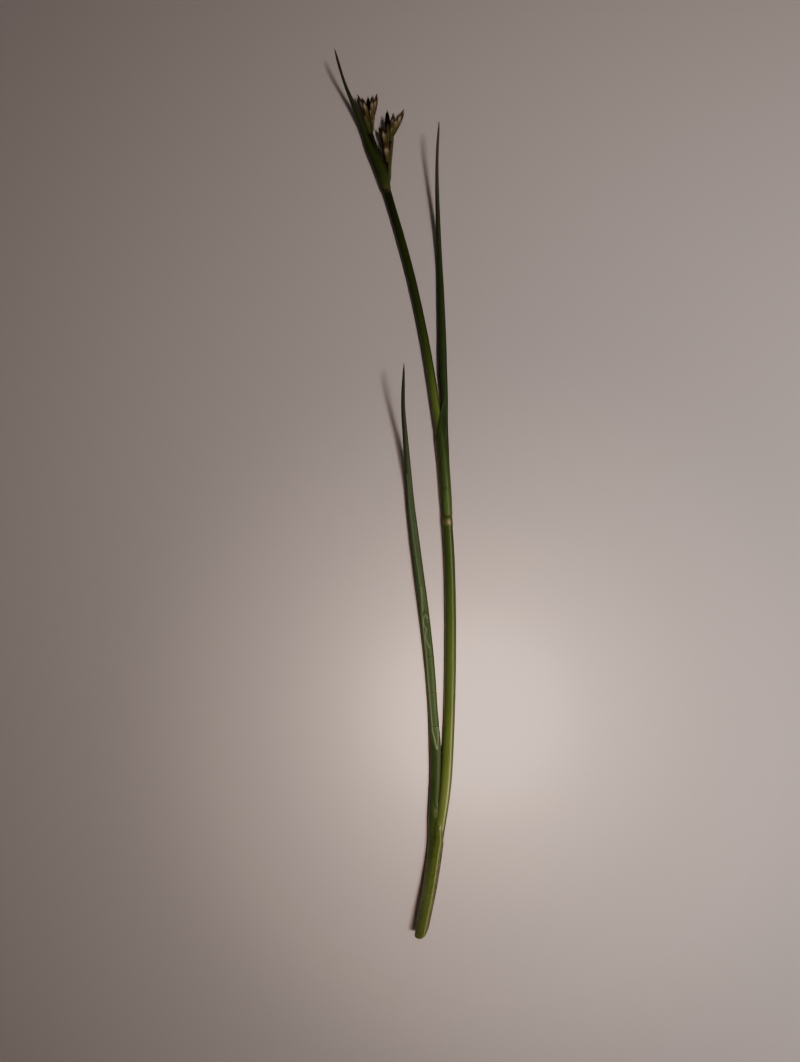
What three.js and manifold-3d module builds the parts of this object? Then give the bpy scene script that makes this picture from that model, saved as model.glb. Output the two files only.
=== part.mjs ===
// A cut flowering stem of a jointed, two-edged rush, lying on a flat surface.
// Millimetres, +Z up. The slanting cut is at -Y, the flowers are at +Y, and the lowest faces rest on z = 0.
// The origin is under the middle of the whole stem.

import Module from 'manifold-3d';
import * as THREE from 'three';
import { mergeVertices } from 'three/addons/utils/BufferGeometryUtils.js';

const wasm = await Module();
wasm.setup();

const TAU = 2 * Math.PI;
const UP = new THREE.Vector3(0, 0, 1);

// Gap that neighbouring pieces keep, and the thickness of the leaf sheaths' walls
const FIT_GAP = 0.06;
const LOWER_WALL = 0.3;
const UPPER_WALL = 0.24;
// Details smaller than this are left out of a solid after a cut or a join
const FINENESS = 0.02;

// The stem's route over the surface. It begins a little before the cut, where the route only guides the cut.
const STEM_PLAN = [
  [4.2, -89.0], [5.26, -84.2], [6.74, -77.0], [8.2, -67.4], [9.6, -57.8], [10.33, -45.0], [10.66, -29.0],
  [10.5, -14.6], [9.95, -4.0], [9.24, 6.0], [8.73, 11.0], [7.94, 16.6], [6.08, 28.6], [3.12, 43.0],
  [0.6, 52.6], [-2.18, 62.0],
];
// The cut is straight on the left and rounded off on the right
const CUT_START = 2.2;
const CUT_SLANT = 2.0;
const LOWER_MOUTH = 27.6;
const LOWER_MOUTH_SLANT = 3.0;
const NODE_RING = 85.0;
const NODE_RING_LENGTH = 2.4;
const NODE_RING_SWELL = 0.12;
const UPPER_MOUTH = 107.9;
const UPPER_MOUTH_SLANT = 5.7;

// Half width of the stem by distance along its route. Its section is flattened and pinched to two edges.
const STEM_HALF_WIDTH = [
  [0, 0.92], [16, 1.0], [26, 0.98], [34, 1.1], [44, 1.13], [58, 1.14], [70, 1.1], [82, 1.05], [88, 0.88],
  [108, 0.86], [130, 0.83], [151, 0.8], [153.6, 0.88],
];
const STEM_FLATTENING = 0.8;
const STEM_EDGE = 1.18;
// Height of the stem's underside: over the sheaths' walls, down on the surface, and lifted at the cut
const STEM_UNDERSIDE = [
  [0, 2.1], [6, 1.45], [12, 0.9], [20, 0.45], [28, 0.37], [42, 0.0], [74, 0.0], [83, 0.2], [86, 0.31],
  [108, 0.31], [124, 0.0],
];

// Leaf blades: route, half width and height of the underside by distance along the route. Each begins as the
// keel of its sheath.
const LOWER_BLADE_PLAN = [
  [4.15, -84.6], [4.68, -81.8], [5.72, -77.0], [6.9, -69.8], [7.2, -64.0], [7.45, -57.0], [7.52, -50.6],
  [7.16, -43.4], [6.52, -33.8], [5.5, -24.2], [3.95, -12.2], [2.8, -2.6], [2.18, 4.55], [1.6, 11.5],
  [1.1, 18.2], [1.26, 25.7],
];
const LOWER_BLADE_HALF_WIDTH = [
  [0, 0.35], [3, 0.5], [8, 0.64], [12, 0.76], [18, 0.84], [25, 0.87], [35, 1.05], [43, 0.92], [54, 1.02],
  [64, 1.04], [76, 0.98], [82, 0.88], [88, 0.7], [95, 0.59], [102, 0.43], [107, 0.34], [109.5, 0.22],
  [111, 0.02],
];
const LOWER_BLADE_UNDERSIDE = [
  [0, 2.0], [5, 1.45], [10, 0.95], [15, 0.6], [25, 0.42], [37, 0.0], [81, 0.0], [86, 0.3], [91, 1.3],
  [97, 2.9], [103, 5.2], [111, 9.1],
];

const UPPER_BLADE_PLAN = [
  [9.78, 5.0], [9.68, 9.5], [9.5, 14.5], [9.45, 19.5], [9.08, 26.2], [8.92, 33.5], [8.62, 43.0],
  [8.22, 52.0], [7.8, 61.6], [7.76, 67.0], [8.04, 72.8],
];
const UPPER_BLADE_HALF_WIDTH = [
  [0, 0.5], [4.5, 0.6], [9.5, 0.63], [14.5, 0.66], [20, 0.86], [25, 0.85], [32, 0.75], [37, 0.68],
  [42, 0.57], [47, 0.5], [56, 0.39], [62, 0.29], [65.5, 0.22], [67.3, 0.14], [68, 0.02],
];
const UPPER_BLADE_UNDERSIDE = [[0, 0.6], [12, 0.45], [22, 0.0], [41, 0.0], [47, 0.7], [56, 2.9], [68, 6.6]];

const BRACT_PLAN = [
  [-2.24, 62.05], [-2.78, 64.2], [-3.13, 65.4], [-4.12, 67.6], [-5.6, 70.6], [-6.68, 73.8], [-8.02, 77.0],
  [-9.33, 79.7], [-10.5, 82.3], [-11.4, 84.8], [-12.25, 87.6],
];
const BRACT_HALF_WIDTH = [
  [0, 0.92], [2, 1.18], [3.6, 1.28], [5.6, 1.12], [9, 0.86], [12.5, 0.68], [14.3, 0.58], [16, 0.57],
  [19, 0.4], [22, 0.28], [26.3, 0.24], [27.5, 0.03],
];
const BRACT_HALF_HEIGHT = [
  [0, 0.72], [5.6, 0.8], [9, 0.7], [14.3, 0.48], [19, 0.36], [26.3, 0.18], [27.5, 0.03],
];
const BRACT_UNDERSIDE = [[0, 0.0], [10, 0.0], [15, 0.7], [20, 2.0], [27.5, 5.3]];
const BLADE_FLATTENING = 0.82;

// Flower branches: route, half width and height of the underside
const LEFT_BRANCH_PLAN = [[-2.9, 66.0], [-3.75, 68.6], [-4.6, 71.2], [-5.2, 73.0]];
const RIGHT_BRANCH_PLAN = [[-2.1, 62.9], [-1.84, 64.4], [-1.74, 67.4], [-1.6, 71.4]];
const LEFT_BRANCH_HALF_WIDTH = 0.42;
const RIGHT_BRANCH_HALF_WIDTH = 0.36;
const BRANCH_UNDERSIDE = 0.3;
const BRANCH_SCALE_SPAN = [0.9, 9.2];
const BRANCH_SCALE_SLANT = 3.4;
const BRANCH_SCALE_WALL = 0.18;

// Each flower head is a tuft of florets that spread out of a narrow cup of scales. The cup is given by its
// base, its top and its half width. A floret is given by its tip, the way it is turned about its own length
// in turns, and its width as a share of the usual width.
const FLORET_HALF_WIDTH = 0.62;
const HEADS = {
  left_head: {
    base: [-5.25, 73.1, 0.85],
    cup: [[-5.7, 78.0, 1.5], 0.92],
    florets: [
      [[-7.7, 80.6, 1.5], 0.05, 1.0], [[-6.0, 80.1, 1.0], 0.3, 0.95], [[-4.35, 80.6, 1.4], 0.12, 1.0],
      [[-6.75, 79.5, 2.4], 0.2, 0.9], [[-5.1, 79.8, 2.5], 0.4, 0.9],
    ],
  },
  lower_head: {
    base: [-2.1, 66.9, 1.2],
    cup: [[-2.75, 72.4, 1.6], 0.88],
    florets: [
      [[-3.58, 74.25, 1.6], 0.1, 0.95], [[-2.85, 73.4, 0.9], 0.3, 0.9], [[-2.45, 73.2, 2.5], 0.2, 0.9],
    ],
  },
  upper_head: {
    base: [-1.85, 71.6, 1.9],
    cup: [[-2.0, 74.6, 2.0], 0.6],
    florets: [[[-2.35, 76.7, 2.0], 0.15, 0.85], [[-1.75, 77.0, 2.4], 0.35, 0.9]],
  },
  outer_head: {
    base: [-1.35, 71.7, 1.3],
    cup: [[-0.8, 74.6, 1.6], 0.55],
    florets: [[[1.2, 77.3, 1.9], 0.25, 1.25], [[-0.8, 76.7, 2.1], 0.1, 0.8]],
  },
};

// A value that changes along a route, from stops of [distance, value]
function along(stops) {
  return (distance) => {
    const next = stops.findIndex(([stop]) => stop > distance);
    if (next === 0) return stops[0][1];
    if (next < 0) return stops.at(-1)[1];
    const [start, startValue] = stops[next - 1];
    const [end, endValue] = stops[next];
    return THREE.MathUtils.mapLinear(distance, start, end, startValue, endValue);
  };
}

// A route over the surface. Its plan is a smooth curve, and underside and halfHeight set its axis's height.
class Route {
  constructor(plan, underside, halfHeight) {
    const points = plan.map(([x, y]) => new THREE.Vector3(x, y, 0));
    this.plan = new THREE.CatmullRomCurve3(points, false, 'centripetal');
    this.plan.arcLengthDivisions = 600;
    this.length = this.plan.getLength();
    this.height = (distance) => underside(distance) + halfHeight(distance);
  }

  frameAt(distance) {
    const share = THREE.MathUtils.clamp(distance / this.length, 0, 1);
    const reach = 1.5;
    const point = this.plan.getPointAt(share).setZ(this.height(distance));
    const forward = this.plan.getTangentAt(share);
    forward.z = (this.height(distance + reach) - this.height(distance - reach)) / (2 * reach);
    forward.normalize();
    const left = new THREE.Vector3().crossVectors(UP, forward).normalize();
    const up = new THREE.Vector3().crossVectors(forward, left);
    return { point, left, up };
  }
}

// Closed solids for the boolean cuts and joins, and back again
function solidOf(geometry) {
  geometry.deleteAttribute('normal');
  geometry.deleteAttribute('uv');
  const merged = mergeVertices(geometry, 1e-4);
  return new wasm.Manifold(new wasm.Mesh({
    numProp: 3,
    vertProperties: Float32Array.from(merged.attributes.position.array),
    triVerts: Uint32Array.from(merged.index.array),
  }));
}

function geometryOf(solid) {
  const { vertProperties, triVerts } = solid.getMesh();
  const geometry = new THREE.BufferGeometry();
  geometry.setAttribute('position', new THREE.BufferAttribute(vertProperties, 3));
  geometry.setIndex(new THREE.BufferAttribute(triVerts, 1));
  const flat = geometry.toNonIndexed();
  flat.computeVertexNormals();
  return flat;
}

function joined(solids) {
  return solids.reduce((whole, solid) => whole.add(solid));
}

// The main body of a solid, without crumbs cut off it, closed hollows or details under the fineness
function mainBody(solid) {
  const bodies = solid.simplify(FINENESS).decompose();
  return bodies.reduce((largest, body) => (body.volume() > largest.volume() ? body : largest));
}

// A round section of radius 1. An edge above 1 pinches its left and right sides to two edges.
function roundSection(sides, edge = 1) {
  const outline = new THREE.Shape();
  for (let side = 0; side < sides; side += 1) {
    const angle = (side / sides) * TAU;
    const rise = Math.sin(angle);
    const x = Math.cos(angle);
    const y = Math.sign(rise) * Math.abs(rise) ** edge;
    if (side === 0) outline.moveTo(x, y);
    else outline.lineTo(x, y);
  }
  outline.closePath();
  return outline;
}

// A thin strip that runs out of the middle of the section at the given turn, for a sheath's slit
function slitSection(turn, halfThickness) {
  const out = new THREE.Vector2(Math.cos(turn * TAU), Math.sin(turn * TAU));
  const across = new THREE.Vector2(-out.y, out.x);
  const corner = (reach, side) => (
    out.clone().multiplyScalar(reach).addScaledVector(across, side * halfThickness)
  );
  return new THREE.Shape([corner(0.5, -1), corner(1.6, -1), corner(1.6, 1), corner(0.5, 1)]);
}

// Lays a section along a route from one distance to another. In a section, x is to the left and y is up.
// The ends may slant: from and to are given the section's point and return a distance.
function laid(section, route, from, to, halfWidth, halfHeight, steps) {
  const geometry = new THREE.ExtrudeGeometry(section, { depth: 1, steps, bevelEnabled: false });
  const position = geometry.attributes.position;
  const vertex = new THREE.Vector3();
  for (let i = 0; i < position.count; i += 1) {
    vertex.fromBufferAttribute(position, i);
    const distance = THREE.MathUtils.lerp(from(vertex), to(vertex), vertex.z);
    const { point, left, up } = route.frameAt(distance);
    point.addScaledVector(left, vertex.x * halfWidth(distance));
    point.addScaledVector(up, vertex.y * halfHeight(distance));
    position.setXYZ(i, point.x, point.y, point.z);
  }
  return solidOf(geometry);
}

const at = (distance) => () => distance;
const scaled = (value, factor) => (distance) => factor * value(distance);
const grown = (value, extra) => (distance) => value(distance) + extra;

// The stem
const stemHalfWidth = along(STEM_HALF_WIDTH);
const stemHalfHeight = scaled(stemHalfWidth, STEM_FLATTENING);
const stemRoute = new Route(STEM_PLAN, along(STEM_UNDERSIDE), stemHalfHeight);
const stemSteps = 40;
const cutEnd = ({ x }) => CUT_START + CUT_SLANT * ((1 - x) / 2) ** 3;

function culm(extra, from) {
  const section = roundSection(16, STEM_EDGE);
  const halfWidth = grown(stemHalfWidth, extra);
  const halfHeight = grown(stemHalfHeight, extra);
  return laid(section, stemRoute, from, at(stemRoute.length), halfWidth, halfHeight, stemSteps);
}

function nodeRing() {
  const swell = (distance) => {
    const share = (distance - NODE_RING) / (NODE_RING_LENGTH / 2);
    return NODE_RING_SWELL * Math.cos((share * Math.PI) / 2) - 0.03;
  };
  const halfWidth = (distance) => stemHalfWidth(distance) + swell(distance);
  const halfHeight = (distance) => stemHalfHeight(distance) + swell(distance);
  const start = NODE_RING - NODE_RING_LENGTH / 2;
  const end = NODE_RING + NODE_RING_LENGTH / 2;
  return laid(roundSection(16, STEM_EDGE), stemRoute, at(start), at(end), halfWidth, halfHeight, 6);
}

const stemSolid = culm(0, cutEnd).add(nodeRing());

// The leaves. A sheath is a wall round the stem, slit on its open side, and its back grows into a blade.
const stemClearance = culm(FIT_GAP, at(0));

function sheath(wall, from, to) {
  const halfWidth = grown(stemHalfWidth, FIT_GAP + wall);
  const halfHeight = grown(stemHalfHeight, FIT_GAP + wall);
  return laid(roundSection(16, 1.05), stemRoute, from, to, halfWidth, halfHeight, 8);
}

function sheathSlit(turn, from, to) {
  const halfWidth = grown(stemHalfWidth, 0.4);
  const halfHeight = grown(stemHalfHeight, 0.4);
  return laid(slitSection(turn, 0.07), stemRoute, at(from), at(to), halfWidth, halfHeight, 12);
}

function blade(plan, halfWidth, halfHeight, undersideStops, steps) {
  const route = new Route(plan, along(undersideStops), halfHeight);
  return laid(roundSection(12), route, at(0), at(route.length), halfWidth, halfHeight, steps);
}

function leafBlade(plan, halfWidthStops, undersideStops, steps) {
  const halfWidth = along(halfWidthStops);
  return blade(plan, halfWidth, scaled(halfWidth, BLADE_FLATTENING), undersideStops, steps);
}

function lowerLeaf() {
  const mouth = ({ x }) => LOWER_MOUTH - (LOWER_MOUTH_SLANT * (1 - x)) / 2;
  return sheath(LOWER_WALL, cutEnd, mouth)
    .add(leafBlade(LOWER_BLADE_PLAN, LOWER_BLADE_HALF_WIDTH, LOWER_BLADE_UNDERSIDE, 32))
    .subtract(stemClearance)
    .subtract(sheathSlit(0.42, 0, LOWER_MOUTH + 4));
}

function upperLeaf() {
  const base = at(NODE_RING + NODE_RING_LENGTH / 2 + FIT_GAP);
  const mouth = ({ x }) => UPPER_MOUTH - (UPPER_MOUTH_SLANT * (1 + x)) / 2;
  return sheath(UPPER_WALL, base, mouth)
    .add(leafBlade(UPPER_BLADE_PLAN, UPPER_BLADE_HALF_WIDTH, UPPER_BLADE_UNDERSIDE, 24))
    .subtract(stemClearance)
    .subtract(sheathSlit(0.11, NODE_RING, UPPER_MOUTH + 2));
}

// The flower branches, the scale round the right one, and the bract that holds both in its axil
function branch(plan, halfWidth, extra = 0) {
  const half = at(halfWidth + extra);
  const route = new Route(plan, at(BRANCH_UNDERSIDE - extra), half);
  return laid(roundSection(8), route, at(0), at(route.length), half, half, 5);
}

function branchScale(extra = 0) {
  const inner = at(RIGHT_BRANCH_HALF_WIDTH + FIT_GAP);
  const route = new Route(RIGHT_BRANCH_PLAN, at(BRANCH_UNDERSIDE - FIT_GAP), inner);
  const [start, end] = BRANCH_SCALE_SPAN;
  const outer = at(RIGHT_BRANCH_HALF_WIDTH + FIT_GAP + BRANCH_SCALE_WALL + extra);
  const mouth = ({ x }) => end - (BRANCH_SCALE_SLANT * (1 + x)) / 2;
  return laid(roundSection(10), route, at(start - extra), mouth, outer, outer, 6);
}

// The bract's base wraps the branches, so it is cut to make room for them, and its edge lies over the scale.
const bractHalfWidth = along(BRACT_HALF_WIDTH);
const bractHalfHeight = along(BRACT_HALF_HEIGHT);

function bractBody(extra = 0) {
  return blade(BRACT_PLAN, grown(bractHalfWidth, extra), grown(bractHalfHeight, extra), BRACT_UNDERSIDE, 18);
}

const leftBranchSolid = branch(LEFT_BRANCH_PLAN, LEFT_BRANCH_HALF_WIDTH);
const rightBranchSolid = branch(RIGHT_BRANCH_PLAN, RIGHT_BRANCH_HALF_WIDTH);
const leftBranchRoom = branch(LEFT_BRANCH_PLAN, LEFT_BRANCH_HALF_WIDTH, FIT_GAP);
const rightBranchRoom = branch(RIGHT_BRANCH_PLAN, RIGHT_BRANCH_HALF_WIDTH, FIT_GAP);
const bractSolid = bractBody().subtract(leftBranchRoom).subtract(rightBranchRoom);
const branchScaleSolid = branchScale().subtract(rightBranchRoom).subtract(bractBody(FIT_GAP));

// A floret stands along +Z: a seed body on a narrow foot, inside six pointed scales
function spindle(profile, sides, flatten = 1) {
  const points = profile.map(([radius, height]) => new THREE.Vector2(radius, height));
  const geometry = new THREE.LatheGeometry(points, sides);
  geometry.rotateX(Math.PI / 2);
  geometry.scale(1, flatten, 1);
  return geometry;
}

function floretGeometries(length, halfWidth) {
  const body = spindle(
    [[0, 0], [0.3, 0.05], [0.8, 0.56], [0.6, 0.8], [0, 0.95]]
      .map(([radius, height]) => [radius * halfWidth, height * length]),
    6,
  );
  const scales = [0, 1, 2, 3, 4, 5].map((count) => {
    const reach = (count % 2 === 0 ? 0.62 : 0.56) * length;
    const scale = spindle([[0, 0], [0.34, 0.45 * reach], [0, reach]], 4, 0.36);
    scale.rotateX(0.01);
    scale.translate(0, 0.6 * halfWidth, 0.38 * length);
    scale.rotateZ((count / 6) * TAU);
    return scale;
  });
  return [body, ...scales];
}

// Stands a +Z shape of the head on its base, pointing at a tip
function pointed(geometry, base, tip) {
  const foot = new THREE.Vector3(...base);
  const axis = new THREE.Vector3(...tip).sub(foot).normalize();
  geometry.applyQuaternion(new THREE.Quaternion().setFromUnitVectors(UP, axis));
  geometry.translate(foot.x, foot.y, foot.z);
  return solidOf(geometry);
}

function spread(base, tip) {
  return new THREE.Vector3(...base).distanceTo(new THREE.Vector3(...tip));
}

function floret(base, tip, turn, width) {
  const geometries = floretGeometries(spread(base, tip), FLORET_HALF_WIDTH * width);
  return joined(geometries.map((geometry) => pointed(geometry.rotateZ(turn * TAU), base, tip)));
}

function headCup(base, [top, halfWidth]) {
  const length = spread(base, top);
  const profile = [[0, 0], [0.45, 0.04], [0.8, 0.4], [1, 0.75], [0, 1]]
    .map(([radius, height]) => [radius * halfWidth, height * length]);
  return pointed(spindle(profile, 7), base, top);
}

function head({ base, cup, florets }) {
  const blooms = florets.map(([tip, turn, width]) => floret(base, tip, turn, width));
  return joined([headCup(base, cup), ...blooms]);
}

// Keeps what is above the surface
function onSurface(solid) {
  return solid.trimByPlane([0, 0, 1], 0);
}

const heads = {};
let taken = joined([leftBranchRoom, rightBranchRoom, branchScale(FIT_GAP), bractBody(FIT_GAP)]);
for (const [name, plan] of Object.entries(HEADS)) {
  const solid = onSurface(head(plan)).subtract(taken);
  heads[name] = solid;
  taken = taken.add(solid);
}

// Surface colours, from the photograph
const finish = (color, roughness) => new THREE.MeshStandardMaterial({ color, roughness, metalness: 0 });

function piece(name, solid, color, roughness) {
  const mesh = new THREE.Mesh(geometryOf(mainBody(solid)), finish(color, roughness));
  mesh.name = name;
  return mesh;
}

const leaves = new THREE.Group();
leaves.add(
  piece('lower_leaf', lowerLeaf(), 0x5a6333, 0.5),
  piece('upper_leaf', upperLeaf(), 0x3c4a26, 0.5),
);

const flowers = new THREE.Group();
flowers.add(
  piece('bract', bractSolid, 0x2f3a16, 0.5),
  piece('left_branch', leftBranchSolid, 0x3a4420, 0.5),
  piece('right_branch', rightBranchSolid, 0x4b5424, 0.5),
  piece('branch_scale', branchScaleSolid, 0x6a6a3a, 0.6),
  ...Object.entries(heads).map(([name, solid]) => piece(name, solid, 0x4c2f22, 0.6)),
);

const rush = new THREE.Group();
rush.add(piece('stem', stemSolid, 0x59602a, 0.45), leaves, flowers);

export default rush;
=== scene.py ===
"""The looks of a cut flowering rush stem that lies on a pale surface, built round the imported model."""

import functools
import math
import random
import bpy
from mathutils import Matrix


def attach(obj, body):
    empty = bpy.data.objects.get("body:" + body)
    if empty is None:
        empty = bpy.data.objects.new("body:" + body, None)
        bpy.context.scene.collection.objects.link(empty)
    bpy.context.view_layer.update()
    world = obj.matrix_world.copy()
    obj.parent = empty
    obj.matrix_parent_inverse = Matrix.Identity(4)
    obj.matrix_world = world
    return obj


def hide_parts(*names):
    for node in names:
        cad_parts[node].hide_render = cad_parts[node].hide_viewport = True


bl_info = {
    "name": "Cut flowering rush stem",
    "version": (1, 0, 0),
    "blender": (4, 5, 0),
    "location": "3D View > Sidebar > Rush",
    "description": "Builds a lying rush stem with its leaves, bract and flower heads on a pale surface",
    "category": "Add Mesh",
}

import bmesh
import bpy
from bpy.props import FloatProperty, FloatVectorProperty, IntProperty, PointerProperty
from mathutils import Matrix, Vector
from mathutils.geometry import interpolate_bezier

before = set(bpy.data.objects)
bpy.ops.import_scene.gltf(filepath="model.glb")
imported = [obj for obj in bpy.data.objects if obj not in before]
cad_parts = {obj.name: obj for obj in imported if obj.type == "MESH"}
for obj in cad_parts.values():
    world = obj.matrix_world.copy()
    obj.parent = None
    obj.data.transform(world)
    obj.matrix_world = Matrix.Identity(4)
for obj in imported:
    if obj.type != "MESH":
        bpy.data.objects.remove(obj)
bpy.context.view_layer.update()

MM = 0.001
TAU = 2 * math.pi
UP = Vector((0, 0, 1))
BODY = "root"

# The camera looks straight down. Its picture is 212.4 mm tall at the height of the stem's middle.
CAMERA_CENTRE = (0.5, -6.3)
CAMERA_HEIGHT = 163.0
PICTURE_LEVEL = 1.0
PICTURE_HEIGHT = 212.4
SENSOR_HEIGHT = 36.0
SURFACE_HALF_SIZE = 1500.0
# The lights, and where the lamps hang over the spots that they light
WHITE = (1.0, 1.0, 1.0)
SKY_COLOR = (1.0, 0.98, 0.95)
POOL_COLOR = (1.0, 0.84, 0.72)
KEY_OFFSET = (400.0, -60.0, 1000.0)
POOL_OFFSET = (120.0, -60.0, 590.0)
# The low strips of light on the right that draw the bright line along the culm
STRIP_WIDTH = 50.0
STRIP_COLOR = (1.0, 0.93, 0.6)

# The gap between a sheath and what it wraps
FIT_GAP = 0.06

# The stem's route: points on the surface, then the half width and the underside by distance along it. The
# blades and the bract are given in the same way.
STEM_PLAN = (
    (4.2, -89.0), (5.26, -84.2), (6.74, -77.0), (8.2, -67.4), (9.6, -57.8), (10.33, -45.0), (10.66, -29.0),
    (10.5, -14.6), (9.95, -4.0), (9.24, 6.0), (8.73, 11.0), (7.94, 16.6), (6.08, 28.6), (3.12, 43.0),
    (0.6, 52.6), (-2.18, 62.0),
)
STEM_HALF_WIDTH = (
    (0, 0.92), (10, 1.0), (16, 1.05), (26, 1.06), (34, 1.13), (44, 1.13), (58, 1.14), (70, 1.1),
    (82, 1.05), (88, 0.88), (108, 0.86), (130, 0.83), (151, 0.8), (153.6, 0.88),
)
STEM_UNDERSIDE = (
    (0, 2.1), (6, 1.45), (12, 0.9), (20, 0.45), (28, 0.37), (42, 0.0), (74, 0.0), (83, 0.2),
    (86, 0.31), (108, 0.31), (124, 0.0),
)
# Height as a share of width, and how sharp the left and right edges are, from 1 for an ellipse
STEM_FLATTENING = 0.8
STEM_EDGE = 1.18
# The slanting cut: where it meets the left edge, how much further along it meets the right one, and up to
# what distance the rings lean with it
CUT_START = 2.2
CUT_SLANT = 2.0
CUT_FADE = 8.0
# The cut face: its rind, the edge of its pith, and how far the pith has sunk
RIND = 0.14
PITH_EDGE = 0.1
PITH_DEPTH = 0.12
# The node ring: where its middle is, its length, how blunt its lower side is, and where the step at its
# upper side starts as a share of half the length
NODE_RING = 85.0
NODE_RING_LENGTH = 2.4
NODE_RING_BLUNTNESS = 0.7
NODE_RING_STEP = 0.8

LOWER_BLADE_PLAN = (
    (4.15, -84.6), (4.68, -81.8), (5.72, -77.0), (6.9, -69.8), (7.05, -64.0), (7.52, -57.0), (7.6, -50.6),
    (7.2, -43.4), (6.52, -33.8), (5.5, -24.2), (3.95, -12.2), (2.8, -2.6), (2.18, 4.55), (1.6, 11.5),
    (1.1, 18.2), (1.26, 25.7),
)
LOWER_BLADE_HALF_WIDTH = (
    (0, 0.35), (3, 0.5), (8, 0.64), (12, 0.76), (18, 0.86), (24.5, 0.98), (28, 1.02), (35, 1.17),
    (43, 0.96), (54, 1.02), (64, 1.04), (76, 0.98), (82, 0.88), (88, 0.7), (95, 0.59), (102, 0.43),
    (107, 0.34), (109.5, 0.22), (111, 0.02),
)
LOWER_BLADE_UNDERSIDE = (
    (0, 2.0), (5, 1.45), (10, 0.95), (15, 0.6), (25, 0.42), (37, 0.0), (81, 0.0), (86, 0.3), (91, 1.3),
    (97, 2.9), (103, 5.2), (111, 9.1),
)

UPPER_BLADE_PLAN = (
    (9.78, 5.0), (9.68, 9.5), (9.5, 14.5), (9.45, 19.5), (9.08, 26.2), (8.92, 33.5), (8.62, 43.0),
    (8.22, 52.0), (7.8, 61.6), (7.76, 67.0), (8.04, 72.8),
)
UPPER_BLADE_HALF_WIDTH = (
    (0, 0.5), (4.5, 0.6), (9.5, 0.63), (14.5, 0.66), (20, 0.86), (25, 0.85), (32, 0.75), (37, 0.68),
    (42, 0.57), (47, 0.5), (56, 0.39), (62, 0.29), (65.5, 0.22), (67.3, 0.14), (68, 0.02),
)
UPPER_BLADE_UNDERSIDE = ((0, 0.6), (12, 0.45), (22, 0.0), (41, 0.0), (47, 0.7), (56, 2.9), (68, 6.6))
BLADE_FLATTENING = 0.82
# The reach over which what changes along a route is softened, and the smaller reach for the width and slope
# of a blade
SOFT_REACH = 1.5
BLADE_REACH = 0.8
# How many points a route has for each given one, and how far to either side of a point its heading is taken
BEND_STEPS = 16
HEADING_REACH = 0.3

# Each sheath: its wall, the side that its blade grows from and the middle of its slit, both in degrees from
# the stem's left edge over its top, its foot and mouth along the stem, and how long the mouth's slant is
LOWER_SHEATH = {"wall": 0.3, "keel": 0.0, "slit": 151.0, "foot": -9.0, "mouth": 27.9, "slant": 7.0}
UPPER_SHEATH = {"wall": 0.24, "keel": 190.0, "slit": 40.0, "foot": 86.2, "mouth": 107.9, "slant": 5.7}
# Where each sheath turns into its blade: how far up the surface that starts and ends
LOWER_JOIN = (-62.6, -59.6)
UPPER_JOIN = (17.0, 20.5)
# Half the gap between the margins of a sheath, the least that its back reaches to either side as they draw
# apart at the mouth, and how much further than the mouth's slant it reaches, in degrees
SLIT_HALF_GAP = 3.5
LEAST_BACK = 30.0
BACK_EXTRA = 10.0
# The margins: the share of the ring over which they thin, and the share of the wall that is left at their
# edge
MARGIN_SHARE = 0.15
MARGIN_THINNESS = 0.1
# Near its mouth and foot a sheath is thinner and fits more closely: over what lengths, how much of its full
# size is left at the foot, and the shares of the gap and the wall that are left at the mouth
MOUTH_FADE = 5.0
FOOT_FADE = 4.0
LEAST_FOOT = 0.45
LEAST_GAP = 0.4
LEAST_WALL = 0.12
# How far from the stem's middle the blade's swelling may stand off a sheath, and the fillet between the two
SWELLING_REACH = 1.95
SWELLING_FILLET = 0.25

BRACT_PLAN = (
    (-2.24, 62.05), (-2.78, 64.2), (-3.13, 65.4), (-4.12, 67.6), (-5.6, 70.6), (-6.68, 73.8), (-8.02, 77.0),
    (-9.33, 79.7), (-10.5, 82.3), (-11.4, 84.8), (-12.25, 87.6),
)
BRACT_HALF_WIDTH = (
    (0, 0.92), (2, 1.18), (3.6, 1.28), (5.6, 1.12), (9, 0.86), (12.5, 0.68), (14.3, 0.58), (16, 0.57),
    (19, 0.4), (22, 0.28), (26.3, 0.24), (27.5, 0.03),
)
BRACT_HALF_HEIGHT = (
    (0, 0.72), (5.6, 0.8), (9, 0.7), (14.3, 0.48), (19, 0.36), (26.3, 0.18), (27.5, 0.03),
)
BRACT_UNDERSIDE = ((0, 0.0), (10, 0.0), (15, 0.7), (20, 2.0), (27.5, 5.3))
# Its foot: from which side to which its wall goes round, in degrees, how thick it is, the most that this
# is as a share of the half width, and from where to where it closes
BRACT_FOOT = (-120.0, 170.0)
BRACT_WALL = 0.2
BRACT_WALL_MOST = 0.4
BRACT_CLOSING = (9.0, 13.0)

LEFT_BRANCH_PLAN = ((-2.9, 66.0), (-3.75, 68.6), (-4.6, 71.2), (-5.2, 73.0))
RIGHT_BRANCH_PLAN = ((-2.1, 62.9), (-1.84, 64.4), (-1.74, 67.4), (-1.6, 71.4))
LEFT_BRANCH_HALF_WIDTH = 0.42
RIGHT_BRANCH_HALF_WIDTH = 0.36
BRANCH_UNDERSIDE = 0.3
# How much further than its plan a branch runs, into its head
BRANCH_EXTRA = 0.3
# The thin scale round the right branch: where it starts and ends along it, how far it reaches round to
# either side and where its middle faces, each at its foot and its tip in degrees, how far its tip leans
# right, and how thick its edges are as a share of its middle
BRANCH_SCALE_START = 0.9
BRANCH_SCALE_END = 9.9
BRANCH_SCALE_REACH = (100.0, 60.0)
BRANCH_SCALE_MIDDLE = (180.0, 130.0)
BRANCH_SCALE_LEAN = 0.35
BRANCH_SCALE_EDGE = 0.3
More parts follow.
